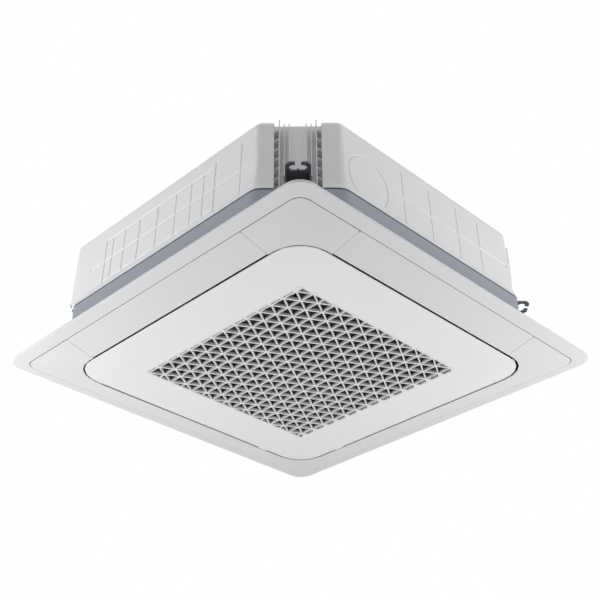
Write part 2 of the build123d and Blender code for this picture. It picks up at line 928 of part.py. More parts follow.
def upright_groove(turn, across, length, width=groove_width):
    """A shallow upright groove through the middle of a casing wall's field."""
    return wall_place(turn, across, field_middle) * Box(width, length, 2 * groove_depth)


def level_groove(turn, across, level, length, width=groove_width):
    """A shallow level groove in a casing wall."""
    return wall_place(turn, across, level) * Box(length, width, 2 * groove_depth)


def left_wall_grooves():
    """The -X wall: uprights between three long lines, one of them bold."""
    tall = field_high - field_low
    grooves = [upright_groove(0, across, tall) for across in left_uprights]
    grooves.append(upright_groove(0, left_bold_upright, tall + 24, bold_groove_width))
    grooves.append(upright_groove(0, left_last_upright, tall + 30))
    grooves.append(level_groove(0, left_line_middle, field_middle, left_line_length))
    for level in (field_low, field_high):
        grooves.append(level_groove(0, left_field_middle, level, left_field_length))
    return grooves


def flat_ring(radius, width, depth):
    """A ring-shaped cutter with flat sides, centred on its own depth."""
    ring = RegularPolygon(radius, knockout_sides) - RegularPolygon(radius - width, knockout_sides)
    return Pos(0, 0, -depth) * extrude(ring, 2 * depth)


def right_wall_grooves():
    """The -Y wall: a round knock-out for a fresh air duct and four tall fields."""
    ring = flat_ring(knockout_radius, groove_width, groove_depth)
    grooves = [wall_place(90, knockout_across, field_middle - knockout_drop) * ring]
    for across in right_uprights:
        grooves.append(upright_groove(90, across, field_high - field_low + 34))
    grooves.append(level_groove(90, right_line_middle, field_middle, right_line_length, bold_groove_width))
    return grooves


def far_wall_grooves(turn):
    """The two walls away from the near corner: plain fields that stiffen the moulding."""
    grooves = [level_groove(turn, far_line_middle, field_middle, far_line_length)]
    for across in far_uprights:
        grooves.append(upright_groove(turn, across, field_high - field_low + 16))
    return grooves


def roof_grooves():
    """Pressed circle and spokes that stiffen the roof over the fan motor."""
    ring = Pos(0, 0, chassis_height) * flat_ring(roof_ring_radius, roof_ring_width, groove_depth)
    spoke = block(spoke_start, spoke_end, -roof_ring_width / 2, roof_ring_width / 2,
                  chassis_height - groove_depth, chassis_height + 1)
    return [ring] + turned(spoke, range(45, 360, 90))


def corner_fins(name):
    """Upright fins and ladder rungs inside one hanger notch."""
    start = -notch_depth - 1
    edge = -notch_depth + outer_fin_depth
    parts = []
    for side in (-1, 1):
        for offset, depth, low in ((outer_fin_offset, outer_fin_depth, band_height),
                                   (middle_fin_offset, inner_fin_depth, bracket_level + 8),
                                   (inner_fin_offset, inner_fin_depth, bracket_level + 8)):
            fin_low, fin_high = sorted((side * offset - fin_thickness / 2, side * offset + fin_thickness / 2))
            parts.append(block(start, -notch_depth + depth, fin_low, fin_high, low, fin_top))
        wall = side * (notch_half_width + 1)
        rung = Polygon((start, side * outer_fin_offset), (edge, side * outer_fin_offset),
                       (edge - notch_half_width + outer_fin_offset, wall), (start, wall), align=None)
        for step in range(rung_count):
            level = band_height + rung_start + step * (fin_top - band_height - rung_start) / rung_count
            parts.append(extrude(Pos(0, 0, level) * rung, rung_thickness, dir=(0, 0, 1)))
    return [corner_frame(name) * part for part in parts]


def pipe_window():
    """The opening in the +X wall where pipes and the drain leave."""
    side = cover_plate_half_width - window_margin
    return block(chassis_half - corner_round, chassis_half + casing_foot, pipe_side_y - side,
                 pipe_side_y + side, gas_level - 2 * window_margin, drain_level + drain_radius + casing_draft)


def upper_casing():
    """White moulded shell: tapered walls, notched corners with fins, closed roof, pipe opening."""
    shell = flat_sided(*casing_outlines(0, edge_steps)) - notches(0, 0, 2 * chassis_height)
    foot = chassis_points(casing_wall, band_height - 5)
    cavity = flat_sided(foot, *casing_outlines(casing_wall, 1))
    shell -= cavity - notches(casing_wall, 0, 2 * chassis_height)
    shell -= left_wall_grooves() + right_wall_grooves()
    shell -= far_wall_grooves(180) + far_wall_grooves(270)
    shell -= roof_grooves()
    for name in corners:
        shell += corner_fins(name)
    shell -= pipe_window()
    return shell - bar_along_x(grommet_across, grommet_level, grommet_radius, chassis_half - pipe_stub,
                               chassis_half)


def top_plate():
    """Steel plate under the roof that carries the fan motor."""
    return chassis_prism(plate_inset, plate_bottom, ceiling_inside)


def insulation_liner():
    """Foam lining between the coil and the upper casing."""
    liner = chassis_prism(liner_inset, pan_top, liner_top)
    return liner - chassis_prism(liner_inset + liner_thickness, pan_top - 1, liner_top + 1) - pipe_window()


def drain_pan():
    """Foam pan with the condensate trough under the coil, the pump sump and four outlet ways."""
    pan = chassis_prism(sheet + pan_gap, base_level + sheet, pan_top)
    pan -= slab(pan_opening_half, pan_opening_corner, 0, chassis_height, hidden_steps)
    trough = slab(coil_outer_half + trough_margin, coil_corner + coil_thickness / 2 + trough_margin,
                  trough_floor, chassis_height, hidden_steps)
    trough -= slab(coil_inner_half - trough_margin, coil_corner - coil_thickness / 2 - trough_margin,
                   trough_floor - 1, chassis_height + 1, hidden_steps)
    pan -= trough
    pan -= block(sump_start, float_x + sump_reach, sump_start, float_y + sump_reach, sump_floor,
                 chassis_height)
    return pan - four(outlet_slot(0, chassis_height))


# ---------------------------------------------------------------- hangers
def hanger_bracket():
    """Steel shelf with an open slot for the hanger bolt, bent down to a flange on the notch wall."""
    back = -notch_depth
    half = bracket_half_width
    cut = bracket_corner
    plate = Polygon((back, -half), (bracket_tip - cut, -half), (bracket_tip, cut - half),
                    (bracket_tip, half - cut), (bracket_tip - cut, half), (back, half), align=None)
    deep = slot_half_depth
    wide = slot_half_width
    step = slot_round
    cavity = Polygon((-deep, step - wide), (step - deep, -wide), (deep - step, -wide), (deep, step - wide),
                     (deep, wide - step), (deep - step, wide), (step - deep, wide), (-deep, wide - step),
                     (-deep, slot_bump), (slot_bump - deep, slot_bump / 2), (slot_bump - deep, -slot_bump / 2),
                     (-deep, -slot_bump), align=None)
    mouth = Pos(bracket_tip / 2 + 1, 0) * Rectangle(bracket_tip + 2, slot_mouth)
    shelf = extrude(Pos(0, 0, bracket_level) * (plate - cavity - mouth), bracket_thickness, dir=(0, 0, 1))
    flange = block(back, back + bracket_thickness, -half, half, bracket_level - bracket_flange_drop,
                   bracket_level + 0.5)
    gusset = Polygon((back, bracket_level + 1), (-gusset_end, bracket_level + 1),
                     (-gusset_end, bracket_level), (back, bracket_level - gusset_height), align=None)
    for side in (-1, 1):
        outer = max(side * half, bracket_thickness - half)
        flange += extrude(Plane.XZ.offset(-outer) * gusset, bracket_thickness, dir=(0, -1, 0))
    return shelf + flange


def bracket_screws():
    """Two hexagon screw heads on each bracket's flange."""
    screws = []
    offset = bracket_half_width - bracket_screw_inset
    for name in corners:
        for y in (-offset, offset):
            place = corner_frame(name) * Pos(-notch_depth, y, band_height - bracket_screw_drop)
            head = Pos(bracket_thickness, 0, 0) * Rot(0, 90, 0) * extrude(
                RegularPolygon(bracket_screw_size, 6), screw_head)
            screws.append(place * head)
    return group(screws)


# ---------------------------------------------------------------- coil and piping
def heat_exchanger():
    """Finned coil bent round the fan on three corners, standing in the pan's trough."""
    coil = slab(coil_outer_half, coil_corner + coil_thickness / 2, trough_floor, coil_top, hidden_steps)
    coil -= slab(coil_inner_half, coil_corner - coil_thickness / 2, trough_floor - 1, coil_top + 1,
                 hidden_steps)
    return coil - block(coil_end, chassis_half, coil_end, chassis_half, 0, chassis_height)


def coil_end_plates():
    """Steel plates that close both ends of the coil and hang it from the top plate."""
    near = coil_inner_half - end_plate_margin
    far = coil_outer_half + end_plate_margin
    first = block(coil_end, coil_end + sheet, near, far, trough_floor, plate_bottom)
    second = block(near, far, coil_end, coil_end + sheet, trough_floor, plate_bottom)
    return group([first, second])


def coil_return_bends():
    """U-shaped copper bends on the end plate of the coil's +Y leg."""
    turns = [math.radians(180 * step / hidden_steps - 90) for step in range(hidden_steps + 1)]
    outer = return_bend_radius + return_tube / 2
    inner = return_bend_radius - return_tube / 2
    points = [(outer * math.cos(turn), outer * math.sin(turn)) for turn in turns]
    points += [(inner * math.cos(turn), inner * math.sin(turn)) for turn in reversed(turns)]
    bend = extrude(Plane.XZ.offset(-return_tube / 2) * Polygon(*points, align=None), return_tube,
                   dir=(0, -1, 0))
    pitch = (coil_top - trough_floor) / (return_bend_count + 1)
    return group([Pos(coil_end + sheet, coil_centre_half + row, trough_floor + (step + 1) * pitch) * bend
                  for row in (-return_row_offset, return_row_offset) for step in range(return_bend_count)])


def header(x, y, radius, foot, taps):
    """An upright header tube with short taps from the coil's end plate."""
    tube = bar(x, y, radius, pan_top + foot, header_top, 8)
    for rise in taps:
        tube += bar_along_y(x, pan_top + rise, tap_radius, coil_end + sheet, y, 6)
    return tube


def gas_header():
    """Larger header tube, fed from the coil's end and tapped by the gas pipe."""
    tube = header(gas_header_x, gas_pipe_y, gas_header_radius, header_foot_gas, gas_taps)
    return tube - bar_along_x(gas_pipe_y, gas_level, gas_pipe_radius, gas_header_x, gas_header_x + 20)


def liquid_header():
    """Smaller header tube, tapped by the liquid pipe."""
    tube = header(liquid_header_x, liquid_pipe_y, liquid_header_radius, header_foot_liquid, liquid_taps)
    return tube - bar_along_x(liquid_pipe_y, liquid_level, liquid_pipe_radius, liquid_header_x,
                              liquid_header_x + 20)


def union_pipe(y, level, radius, start, thread):
    """A copper pipe from its header out through the cover plate, with a threaded union at its end."""
    pipe = bar_along_x(y, level, radius, start, union_start + 1)
    pipe += rod_along_x(y, level, thread, union_start, stub_end)
    return pipe - bar_along_x(y, level, radius - pipe_wall, start + pipe_stub, stub_end + 1)


def union_nuts():
    """Hexagon nuts behind both unions."""
    nuts = []
    start = union_start - union_nut_length - union_nut_gap
    for y, level, radius, thread in ((gas_pipe_y, gas_level, gas_pipe_radius, union_thread_gas),
                                     (liquid_pipe_y, liquid_level, liquid_pipe_radius,
                                      union_thread_liquid)):
        nut = bar_along_x(y, level, thread + union_nut_wall, start, start + union_nut_length, 6)
        nuts.append(nut - bar_along_x(y, level, radius, start - 1, stub_end))
    return group(nuts)


def casing_outside(level):
    """Distance of the upper casing's wall from the middle at a height."""
    return chassis_half - casing_inset(level)


def pipe_cover_plate():
    """Steel plate over the pipe opening, with a hole for each pipe."""
    side = cover_plate_half_width
    low = -3 * window_margin
    high = drain_level - gas_level + 3 * window_margin
    plate = block(0, sheet, pipe_side_y - side, pipe_side_y + side, low, high)
    plate = Pos(casing_outside(gas_level) + pivot_clearance, 0, gas_level) * Rot(0, -casing_taper(), 0) * plate
    for y, level, radius in ((gas_pipe_y, gas_level, gas_pipe_radius),
                             (liquid_pipe_y, liquid_level, liquid_pipe_radius),
                             (pipe_side_y, drain_level, drain_radius)):
        plate -= bar_along_x(y, level, radius + 1, chassis_half - pipe_stub, stub_end, hole=True)
    return plate


# ---------------------------------------------------------------- drain
def drain_pump():
    """Pump body with motor can above, suction foot in the sump and a side outlet."""
    body = bar(pump_x, pump_y, pump_radius, pump_bottom, pump_body_top)
    body += bar(pump_x, pump_y, pump_cap_radius, pump_body_top, pump_top)
    body += bar(pump_x, pump_y, pump_foot_radius, sump_floor + casing_draft, pump_bottom)
    return body + bar_along_y(pump_x, pump_bottom + pump_spout_rise, pump_spout_radius,
                              pipe_side_y + hose_radius, pump_y)


def pump_bracket():
    """Steel strap that hangs the pump from the top plate."""
    strap = bar(pump_x, pump_y, pump_radius + 3, strap_low, strap_high)
    strap -= bar(pump_x, pump_y, pump_radius + motor_gap, strap_low - 1, strap_high + 1)
    side = pump_y + pump_radius + 1
    return strap + block(pump_x - strap_half_width, pump_x + strap_half_width, side, side + sheet,
                         strap_low, plate_bottom)


def drain_hose():
    """Flexible hose that rises from the pump and runs over the headers to the drain outlet."""
    riser = bar(pump_x, pipe_side_y, hose_radius, pump_bottom + hose_radius, drain_level + hose_radius)
    return riser + bar_along_x(pipe_side_y, drain_level, hose_radius, pump_x, drain_start)


def drain_outlet():
    """Socket of the drain line on the +X side, thicker outside the casing."""
    outlet = bar_along_x(pipe_side_y, drain_level, drain_inner_radius, drain_start, stub_end - 1)
    outlet += rod_along_x(pipe_side_y, drain_level, drain_radius, stub_end - drain_socket_length, stub_end)
    return outlet - bar_along_x(pipe_side_y, drain_level, drain_inner_radius - drain_wall,
                                drain_start + hose_radius, stub_end + 1)


def float_switch_body():
    """Switch head and guide stem with a stop at its foot."""
    stem = bar(float_x, float_y, float_stem_radius, float_low_level - 3, switch_bottom)
    stop = bar(float_x, float_y, float_stem_radius + 2, float_low_level - 4, float_low_level - 1)
    size = float_radius
    head = block(float_x - size, float_x + size, float_y - size, float_y + size, switch_bottom, switch_top)
    strap = block(float_x - sheet / 2, float_x + sheet / 2, float_y - size + 2, float_y + size - 2,
                  switch_top, plate_bottom)
    return stem + stop + head + strap


def float_ring():
    """Float that slides on the stem as the water rises."""
    top = float_low_level + float_height
    body = bar(float_x, float_y, float_radius, float_low_level, top)
    return body - bar(float_x, float_y, float_stem_radius + pivot_clearance, 0, top + 1, hole=True)


# ---------------------------------------------------------------- fan
def hub_line():
    """Underside of the hub from its bucket out to the rim: radius and height of each bend."""
    return [(hub_bucket_radius - hub_round, hub_bucket_level),
            (hub_bucket_radius, hub_bucket_level + hub_step),
            (hub_bucket_radius + hub_flare, fan_plate_level),
            (fan_radius, fan_plate_level)]


def shroud_line(rise):
    """The shroud's section from the eye out to the rim, raised by its thickness or not."""
    return [(fan_eye_radius, shroud_eye_level + rise),
            (fan_eye_radius + shroud_lead, shroud_eye_level + shroud_lead + rise),
            (fan_radius, shroud_edge_level + rise)]


def fan_hub():
    """Hub plate with a bucket over the motor and a boss on the shaft."""
    bore = shaft_radius / math.cos(math.pi / fan_sides)
    boss = shaft_radius + hub_boss_wall
    foot = [(bore, hub_bucket_level - hub_boss_drop), (boss, hub_bucket_level - hub_boss_drop),
            (boss, hub_bucket_level)]
    inside = [(fan_radius, fan_plate_level + fan_plate),
              (hub_bucket_radius + hub_flare - fan_plate, fan_plate_level + fan_plate),
              (hub_bucket_radius - fan_plate, hub_bucket_level + hub_step + fan_plate / 2),
              (hub_bucket_radius - hub_round, hub_bucket_level + fan_plate),
              (bore, hub_bucket_level + fan_plate)]
    return turned_form(foot + hub_line() + inside, fan_sides)


def fan_blade():
    """One backward curved blade between the shroud and the hub."""
    root = blade_root_ratio * fan_radius
    span = blade_tip_ratio * fan_radius - root
    front = []
    rear = []
    for step in range(blade_steps + 1):
        part = step / blade_steps
        radius = root + span * part
        turn = math.radians(blade_sweep) * (1 - (1 - part) ** blade_curve)
        half = blade_thickness / 2 / radius
        front.append((radius * math.cos(turn - half), radius * math.sin(turn - half), shroud_eye_level))
        rear.append((radius * math.cos(turn + half), radius * math.sin(turn + half), shroud_eye_level))
    blade = upright(front + rear[::-1], fan_plate_level + 1)
    rise = fan_plate
    passage = [(hub_bucket_radius - hub_round, shroud_eye_level + rise)] + shroud_line(rise)
    return blade & turned_form(passage + hub_line()[::-1], fan_sides)


def fan_impeller():
    """Turbo fan: hub plate with a bucket and backward curved blades."""
    fan = fan_hub()
    return fan + turned(fan_blade(), [step * 360 / blade_count for step in range(blade_count)])


def fan_shroud():
    """Flared ring welded to the blades' lower edges, with the fan's eye."""
    return turned_form(shroud_line(0) + shroud_line(fan_plate)[::-1], fan_sides)


def motor_shaft():
    """Shaft from inside the motor down through the hub to its nut."""
    return rod(0, 0, shaft_radius, hub_bucket_level - shaft_drop, motor_top - shaft_drop)


def fan_nut():
    """Nut that holds the impeller on the shaft."""
    top = hub_bucket_level - hub_boss_drop
    nut = bar(0, 0, nut_radius, top - nut_height, top, 6)
    return nut - bar(0, 0, shaft_radius, 0, chassis_height, hole=True)


def fan_motor():
    """Fan motor: stepped can with a flange of three ears."""
    section = [(fan_motor_radius - 40, fan_motor_level), (fan_motor_radius - 10, fan_motor_level + 6),
               (fan_motor_radius, fan_motor_level + 16), (fan_motor_radius, motor_top - 14),
               (fan_motor_radius - 8, motor_top)]
    body = flat_sided(*[ring_points(radius, level, motor_sides) for radius, level in section])
    ear = block(fan_motor_radius - 20, mount_ring + mount_radius, -mount_radius, mount_radius,
                motor_top - 4, motor_top)
    body += turned(ear, mount_turns)
    return body - bar(0, 0, shaft_radius + shaft_clearance, 0, motor_top - shaft_drop + 2, motor_sides,
                      hole=True)


def motor_mounts():
    """Rubber bushes between the motor's ears and the top plate."""
    return group(turned(bar(mount_ring, 0, mount_radius, motor_top, plate_bottom, 8), mount_turns))


def bell_mouth():
    """Round flare that leads air into the fan's eye."""
    low = base_level - sheet
    span = bell_flare_radius - bell_throat_radius
    rise = bell_lip_level - low
    inner = []
    outer = []
    for step in range(bell_steps + 1):
        turn = math.radians(90 * step / bell_steps)
        radius = bell_flare_radius - span * math.cos(turn)
        level = bell_lip_level - rise * math.sin(turn)
        inner.append((radius, level))
        outer.append((radius + sheet * math.cos(turn), level + sheet * math.sin(turn)))
    return turned_form(inner + outer[::-1], bell_sides)


def bell_plate():
    """Flat plate round the bell mouth that closes the pan's opening."""
    low = base_level - sheet
    plate = slab(bell_plate_half, bell_plate_corner, low, base_level, hidden_steps)
    plate -= bar(0, 0, bell_flare_radius, 0, pan_top, bell_sides)
    return plate - block(-control_length / 2, control_length / 2, -control_far, -control_near, 0, pan_top)


# ---------------------------------------------------------------- control box
def control_box():
    """Folded steel box, open below, set into the bell mouth's plate."""
    x = control_length / 2 - 1
    box = block(-x, x, -control_far + 1, -control_near - 1, control_bottom, control_top)
    wall = control_wall
    return box - block(wall - x, x - wall, -control_far + 1 + wall, -control_near - 1 - wall,
                       control_bottom - 1, control_top - wall)


def control_cover():
    """Flat lid under the control box."""
    x = control_length / 2 + cover_lip
    return block(-x, x, -control_far - cover_lip, -control_near + cover_lip, control_bottom - control_wall,
                 control_bottom)


def circuit_board():
    """Controller board with its tall components."""
    start = cover_lip - control_length / 2
    board_level = control_top - 12
    board = block(start, start + board_length, -control_far + 6, -control_near - 6, board_level,
                  board_level + 1.6)
    board += block(start + 12, start + 44, control_middle - 14, control_middle + 12, board_level - 22,
                   board_level)
    for place in (66, 90):
        board += bar(start + place, control_middle, 9, board_level - 26, board_level, 8)
    return board + block(start + 110, start + 122, control_middle - 18, control_middle + 18,
                         board_level - 10, board_level)


def terminal_block():
    """Screw terminals for the supply and signal wires."""
    end = control_length / 2 - cover_lip - 6
    start = end - terminal_count * terminal_pitch - 4
    terminals = block(start, end, control_middle - 14, control_middle + 14, control_top - 22,
                      control_top - control_wall)
    for step in range(terminal_count):
        place = start + terminal_pitch * (step + 0.6)
        terminals -= block(place, place + 7, control_middle - 10, control_middle + 10, control_top - 24,
                           control_top - 16)
    return terminals


def cable_grommet():
    """Rubber grommet in the +X wall where the supply cable would enter."""
    outside = casing_outside(grommet_level)
    grommet = bar_along_x(grommet_across, grommet_level, grommet_radius, outside - 9, outside + 4)
    grommet += bar_along_x(grommet_across, grommet_level, grommet_radius + 4, outside + 0.6, outside + 4)
    return grommet - bar_along_x(grommet_across, grommet_level, grommet_radius - 3, outside - 4, outside + 9)


# ---------------------------------------------------------------- write every node
save("panel_frame", panel_frame())
for side_name, side_turn in side_turns.items():
    save(f"louver_blade_{side_name}", Rot(0, 0, side_turn - 90) * louver_blade())
    save(f"louver_motor_{side_name}", Rot(0, 0, side_turn - 90) * louver_motor())
for cap_number, cap_name in enumerate(corners):
    cap_opening = blade_inner_half if corners[cap_name][0] > 0 else ring_inner_half
    save(f"corner_cap_{cap_name}", Rot(0, 0, 90 * cap_number) * corner_cap(cap_opening))
    save(f"hanger_bracket_{cap_name}", corner_frame(cap_name) * hanger_bracket())
save("panel_screws", panel_screws())
save("panel_seal", panel_seal())
save("intake_grille_frame", intake_grille_frame())
save("grille_lattice", grille_lattice())
save("filter_frame", filter_frame())
save("filter_mesh", filter_mesh())
save("grille_latch_near", grille_latch(-latch_offset))
save("grille_latch_left", grille_latch(latch_offset))
save("grille_hinge_pins", hinge_pins())
save("lower_casing", lower_casing())
save("upper_casing", upper_casing())
save("top_plate", top_plate())
save("insulation_liner", insulation_liner())
save("drain_pan", drain_pan())
save("bracket_screws", bracket_screws())
save("heat_exchanger", heat_exchanger())
save("coil_end_plates", coil_end_plates())
save("coil_return_bends", coil_return_bends())
save("gas_header", gas_header())
save("liquid_header", liquid_header())
save("gas_pipe", union_pipe(gas_pipe_y, gas_level, gas_pipe_radius, gas_header_x, union_thread_gas))
save("liquid_pipe", union_pipe(liquid_pipe_y, liquid_level, liquid_pipe_radius, liquid_header_x,
                               union_thread_liquid))
save("flare_nuts", union_nuts())
save("pipe_cover_plate", pipe_cover_plate())
save("drain_pump", drain_pump())
save("pump_bracket", pump_bracket())
save("drain_hose", drain_hose())
save("drain_outlet", drain_outlet())
save("float_switch_body", float_switch_body())
save("float_ring", float_ring())
save("fan_impeller", fan_impeller())
save("fan_shroud", fan_shroud())
save("motor_shaft", motor_shaft())
save("fan_nut", fan_nut())
save("fan_motor", fan_motor())
save("motor_mounts", motor_mounts())
save("bell_mouth", bell_mouth())
save("bell_plate", bell_plate())
save("control_box", control_box())
save("control_cover", control_cover())
save("circuit_board", circuit_board())
save("terminal_block", terminal_block())
save("cable_grommet", cable_grommet())
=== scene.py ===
# %% [markdown]
# # A ceiling cassette air conditioner, dressed cell by cell
# The machine hangs in a ceiling. What a room sees is the white decoration panel with its four
# louver blades and the pierced intake grille. Above the ceiling sit a painted steel band, a white
# moulded upper casing with notched corners, and four steel hanger brackets.
#
# The construction is already there as a fixed frame of parts. This file gives every part its
# finish, rounds the edges that catch the light, and cuts the threads of the two pipe unions.

import json
import math

import bmesh
import bpy
import numpy as np
from mathutils import Matrix


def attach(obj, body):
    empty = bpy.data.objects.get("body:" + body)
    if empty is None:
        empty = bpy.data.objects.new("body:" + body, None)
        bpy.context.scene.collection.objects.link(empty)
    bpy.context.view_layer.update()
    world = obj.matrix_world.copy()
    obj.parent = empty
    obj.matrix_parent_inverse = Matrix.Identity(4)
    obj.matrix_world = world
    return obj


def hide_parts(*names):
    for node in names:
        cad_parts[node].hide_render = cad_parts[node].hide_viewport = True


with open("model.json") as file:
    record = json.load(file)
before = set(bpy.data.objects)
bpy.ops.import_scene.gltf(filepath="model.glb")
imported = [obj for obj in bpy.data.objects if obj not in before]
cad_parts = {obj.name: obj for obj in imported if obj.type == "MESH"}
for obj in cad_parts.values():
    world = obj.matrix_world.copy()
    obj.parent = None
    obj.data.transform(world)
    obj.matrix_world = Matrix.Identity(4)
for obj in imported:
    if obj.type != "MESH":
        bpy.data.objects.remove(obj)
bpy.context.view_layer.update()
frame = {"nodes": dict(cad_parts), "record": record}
nodes = frame["nodes"]
behaviour = frame["record"]["behaviour"]
body_of = {node: body for body, members in behaviour["bodies"].items() for node in members}
slot_of = {part["node"]: part["material_slot"] for part in frame["record"]["subparts"]}
mm = 0.001

# %% [markdown]
# ## The camera
# The picture was taken from below, facing one corner of the panel. The camera's direction, distance
# and lens were worked out from the panel's square outline, whose corners are known in metres, so
# the render and the picture can be laid over each other. A camera looks along its own -Z, so its
# matrix is built from three axes: right, up, and back towards the photographer.

# %% Camera
camera_azimuth = math.radians(-45.1207)
camera_elevation = math.radians(-32.4167)
camera_roll = math.radians(-0.4254)
camera_distance = 2.5403
camera_right_shift = -0.00115
camera_up_shift = 0.13591
camera_lens = 66.66
camera_reach = 50


def unit(vector):
    """A vector divided by its own length."""
    return np.asarray(vector, float) / np.linalg.norm(vector)


def camera_axes():
    """Right, up and back: back points from the object to the camera, right lies level, up is back
    crossed with right, and right and up are then turned about back by the roll."""
    back = np.array([math.sin(camera_azimuth) * math.cos(camera_elevation),
                     -math.cos(camera_azimuth) * math.cos(camera_elevation),
                     math.sin(camera_elevation)])
    right = unit(np.cross([0, 0, 1], back))
    up = np.cross(back, right)
    cosine, sine = math.cos(camera_roll), math.sin(camera_roll)
    return cosine * right + sine * up, cosine * up - sine * right, back


def stand_object(name, data, axes, place):
    """A new object at a place, with its own X, Y and Z along three axes."""
    matrix = np.eye(4)
    matrix[:3] = np.column_stack([*axes, place])
    item = bpy.data.objects.new(name, data)
    bpy.context.scene.collection.objects.link(item)
    item.matrix_world = Matrix(matrix.tolist())
    return item


def add_camera():
    """The scene's camera: back along its view by the distance, then shifted right and up."""
    right, up, back = camera_axes()
    place = back * camera_distance + right * camera_right_shift + up * camera_up_shift
    data = bpy.data.cameras.new("camera")
    data.lens = camera_lens
    data.clip_end = camera_reach
    bpy.context.scene.camera = stand_object("camera", data, (right, up, back), place)
    return place


bpy.context.scene.view_settings.view_transform = "Standard"
print("camera at", [round(v, 3) for v in add_camera()])

# %% [markdown]
# ## The world
# A catalogue picture of a white object on white needs light that is soft but not quite even, or
# every edge disappears. A pale world gives the even part. It is white only for rays that come
# straight from the camera, or that mirror and pass through, so the white background adds no light
# to the object. Nodes are wired in the order in which they work: each is given the outputs or the
# plain values that feed it, so that a chain of nodes reads like a sum.

# %% World
world_light = 0.42
world_tint = (0.985, 0.99, 1.0, 1)
white = (1, 1, 1, 1)


def feed(tree, socket, source):
    """Links an input to another node's output, or gives it a plain value."""
    if isinstance(source, bpy.types.NodeSocket):
        tree.links.new(source, socket)
    else:
        socket.default_value = source


def add_node(tree, kind, *sources, operation=None, **named):
    """A shader node whose first inputs are fed in order and whose others are fed by name."""
    node = tree.nodes.new(f"ShaderNode{kind}")
    if operation:
        node.operation = operation
    for socket, source in zip(node.inputs, sources):
        feed(tree, socket, source)
    for label, source in named.items():
        feed(tree, node.inputs[label.replace("_", " ")], source)
    return node


def calculate(tree, operation, *sources):
    """The result of one step of arithmetic."""
    return add_node(tree, "Math", *sources, operation=operation).outputs[0]


def add_world():
    """Two backgrounds, mixed by whether the ray is seen: white if so, the dimmer light if not."""
    world = bpy.data.worlds.new("studio")
    bpy.context.scene.world = world
    world.use_nodes = True
    tree = world.node_tree
    tree.nodes.clear()
    rays = add_node(tree, "LightPath").outputs
    direct = calculate(tree, "MAXIMUM", rays["Is Camera Ray"], rays["Is Glossy Ray"])
    seen = calculate(tree, "MAXIMUM", direct, rays["Is Transmission Ray"])
    light = add_node(tree, "Background", Color=world_tint, Strength=world_light)
    backdrop = add_node(tree, "Background", Color=white)
    mixed = add_node(tree, "MixShader", seen, light.outputs[0], backdrop.outputs[0])
    add_node(tree, "OutputWorld", Surface=mixed.outputs[0])
    return tree


print("world nodes:", len(add_world().nodes))

# %% [markdown]
# ## The floor
# A sheet of pale paper lies far below the machine, where it doesn't cut off a view from underneath.
# Half of what the camera sees of it is one set tone, and the other half is the paper as it is lit,
# so that it keeps a soft shadow and still looks pale.

# %% Floor
floor_level = -3.6
floor_half = 30.0
floor_share = 0.5
floor_paper = (0.86, 0.86, 0.87, 1)
floor_pale = (0.85, 0.85, 0.86, 1)
floor_roughness = 0.9


def floor_material():
    """Lit paper, mixed with a set pale tone by the floor's share for rays from the camera."""
    material = bpy.data.materials.new("floor_paper")
    material.use_nodes = True
    tree = material.node_tree
    paper = tree.nodes["Principled BSDF"]
    paper.inputs["Base Color"].default_value = floor_paper
    paper.inputs["Roughness"].default_value = floor_roughness
    ray = add_node(tree, "LightPath").outputs["Is Camera Ray"]
    share = calculate(tree, "MULTIPLY", ray, floor_share)
    pale = add_node(tree, "Emission", Color=floor_pale)
    mix = add_node(tree, "MixShader", share, paper.outputs[0], pale.outputs[0])
    feed(tree, tree.nodes["Material Output"].inputs["Surface"], mix.outputs[0])
    return material


def add_floor():
    """One level square: its corners lie half its width from the middle on either side."""
    mesh = bpy.data.meshes.new("floor")
    across = np.array([-1, 1, 1, -1]) * floor_half
    along = np.array([-1, -1, 1, 1]) * floor_half
    points = np.column_stack([across, along, np.full(4, floor_level)])
    mesh.from_pydata(points.tolist(), [], [(0, 1, 2, 3)])
    mesh.materials.append(floor_material())
    floor = bpy.data.objects.new("floor", mesh)
    bpy.context.scene.collection.objects.link(floor)
    return floor


print("floor:", [round(v, 2) for v in add_floor().dimensions], "m at", floor_level, "m")

# %% [markdown]
# ## The lamps
# Two lamps stand low at the panel's left and right corners, and two smaller ones beside the
# casing's ends, so that both ends are bright and the corner nearest to the camera stays darker. A
# broad one overhead lights the roof for the views from above. A point lamp would draw hard shadows,
# so all are square area lamps.

# %% Lamps
lamps = {  # name: place and aim in metres, width in metres, power in watts
    "left_lamp": ((-1.2, 1.1, -1.0), (-0.25, 0.3, 0), 0.9, 17.5),
    "right_lamp": ((1.2, -1.1, -1.0), (0.3, -0.25, 0), 0.9, 15),
    "left_side_lamp": ((-1.35, 1.35, 0.2), (-0.42, 0.3, 0.15), 0.7, 4.6),
    "right_side_lamp": ((1.2, -1.7, 0.2), (0.3, -0.42, 0.15), 0.8, 5.5),
    "top_lamp": ((-0.8, -0.8, 2.6), (0, 0, 0.2), 2.0, 8),
}
lamp_level = (0, 0.1, 1)  # nearly upright, so that no lamp shines along it


def add_lamp(name, place, aim, width, power):
    """A square area lamp. It shines along its own -Z, so its back points from its aim to it."""
    data = bpy.data.lights.new(name, "AREA")
    data.size = width
    data.energy = power
    back = unit(np.subtract(place, aim))
    side = unit(np.cross(lamp_level, back))
    stand_object(name, data, (side, np.cross(back, side), back), place)


for name, (place, aim, width, power) in lamps.items():
    add_lamp(name, place, aim, width, power)
    print(name, power, "W")

# %% [markdown]
# ## Effects that several finishes share
# A moulded plastic is never one flat colour: its tone drifts a little over a hand's width. Such an
# effect is built once as a node group, with its scale and amount as inputs, and every material then
# places it with its own values. All of them read Object coordinates, so a pattern stays fixed to
# the piece. The drift could be painted, but noise has no seams and needs no picture.

